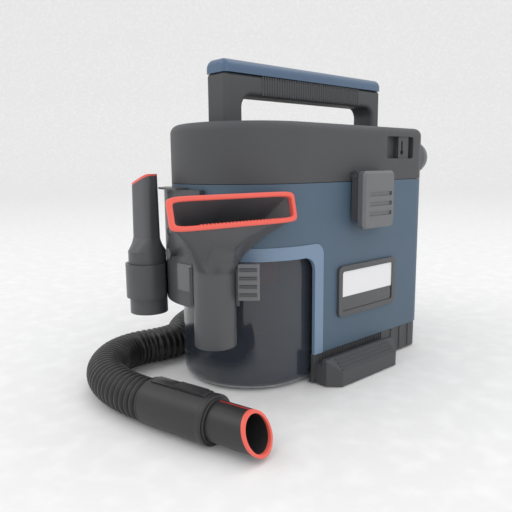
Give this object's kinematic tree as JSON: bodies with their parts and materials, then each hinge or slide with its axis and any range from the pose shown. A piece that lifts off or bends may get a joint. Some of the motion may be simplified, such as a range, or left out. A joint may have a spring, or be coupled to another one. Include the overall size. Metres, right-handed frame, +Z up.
{
  "type": "shop vacuum",
  "caption": "Compact portable wet and dry vacuum with a carrying handle, a smoky window tank, latched motor head, ribbed hose with wand and clipped-on floor and crevice tools.",
  "frame": {"origin": "on the floor under the middle of the housing", "axes": "+X to the right, +Y to the back, +Z up; the nose with the window faces -Y"},
  "size_m": [0.3478, 0.4477, 0.33],
  "materials": {
    "housing_blue": "fine texture",
    "frame_blue": "fine texture",
    "charcoal": "fine texture",
    "dark_grey": "satin",
    "latch_grey": "satin",
    "cap_blue": "satin",
    "smoky_clear": "polished",
    "red_soft": "soft matt",
    "red_inside": "satin",
    "black_hose": "satin",
    "black_plastic": "satin",
    "black_rubber": "matt",
    "badge_white": "gloss",
    "steel": "brushed",
    "foam": "open cell",
    "float_white": "gloss",
    "copper_iron": "varnished"
  },
  "bodies": {
    "root": {"housing_shell": "housing_blue", "window_frame": "frame_blue", "base_skirt": "charcoal", "foot_right": "charcoal", "foot_left": "charcoal", "floor_pads": "black_rubber", "tank": "smoky_clear", "tank_carrier": "black_plastic", "carrier_screws": "steel", "badge_frame": "dark_grey", "badge_plate": "badge_white", "latch_catches": "dark_grey", "accessory_bracket": "dark_grey", "bracket_hook": "dark_grey", "bracket_catch": "latch_grey", "bracket_screws": "steel", "crevice_clip": "dark_grey", "nozzle_clip": "dark_grey", "clip_thumb_tab": "latch_grey", "hose_tube": "black_hose", "wand_cuff": "black_plastic", "wand_tube": "black_plastic", "wand_rim": "red_soft"},
    "head": {"head_shell": "charcoal", "head_plate": "black_plastic", "head_gasket": "black_rubber", "handle_core": "charcoal", "handle_cap": "cap_blue", "handle_screws": "steel", "switch_bezel": "dark_grey", "exhaust_grille": "black_plastic", "cord_gland": "black_plastic", "keyhole_plate": "charcoal", "inlet_duct": "black_plastic", "hose_elbow": "dark_grey", "elbow_collar": "dark_grey", "hose_cuff": "black_plastic", "inlet_deflector": "red_inside", "fan_housing": "black_plastic", "motor_can": "steel", "motor_end_cap": "black_plastic", "motor_bearings": "steel", "stator": "copper_iron", "filter_cage": "black_plastic", "foam_filter": "foam", "latch_mounts": "charcoal", "latch_pins": "steel"},
    "fan": {"motor_shaft": "steel", "rotor": "copper_iron", "impeller": "black_plastic"},
    "float": {"float_ball": "float_white"},
    "switch": {"power_switch": "red_soft"},
    "latch_right": {"latch_cover_right": "latch_grey", "latch_frame_right": "dark_grey"},
    "latch_left": {"latch_cover_left": "latch_grey", "latch_frame_left": "dark_grey"},
    "nozzle": {"wide_nozzle": "dark_grey", "nozzle_rim": "red_soft"},
    "crevice": {"crevice_tool": "dark_grey", "crevice_rim": "red_soft"}
  },
  "joints": [
    {"name": "head_lift", "type": "slide", "parent": "root", "child": "head", "axis": [0, 0, 1], "range_m": [0, 0.12]},
    {"name": "latch_right_swing", "type": "hinge", "parent": "head", "child": "latch_right", "pos_m": [0.0887, 0.027, 0.214], "axis": [0, -1, 0], "range_deg": [0, 40]},
    {"name": "latch_left_swing", "type": "hinge", "parent": "head", "child": "latch_left", "pos_m": [-0.0887, 0.027, 0.214], "axis": [0, 1, 0], "range_deg": [0, 40]},
    {"name": "fan_spin", "type": "hinge", "parent": "head", "child": "fan", "pos_m": [-0.024, 0.084, 0.2], "axis": [0, 0, 1], "continuous": true},
    {"name": "float_rise", "type": "slide", "parent": "head", "child": "float", "axis": [0, 0, 1], "range_m": [0, 0.038]},
    {"name": "switch_rock", "type": "hinge", "parent": "head", "child": "switch", "pos_m": [-0.046, 0.01, 0.264], "axis": [1, 0, 0], "range_deg": [0, 8]},
    {"name": "nozzle_lift", "type": "slide", "parent": "root", "child": "nozzle", "axis": [0, 0, 1], "range_m": [0, 0.1]},
    {"name": "crevice_lift", "type": "slide", "parent": "root", "child": "crevice", "axis": [0, 0, 1], "range_m": [0, 0.1]}
  ]
}
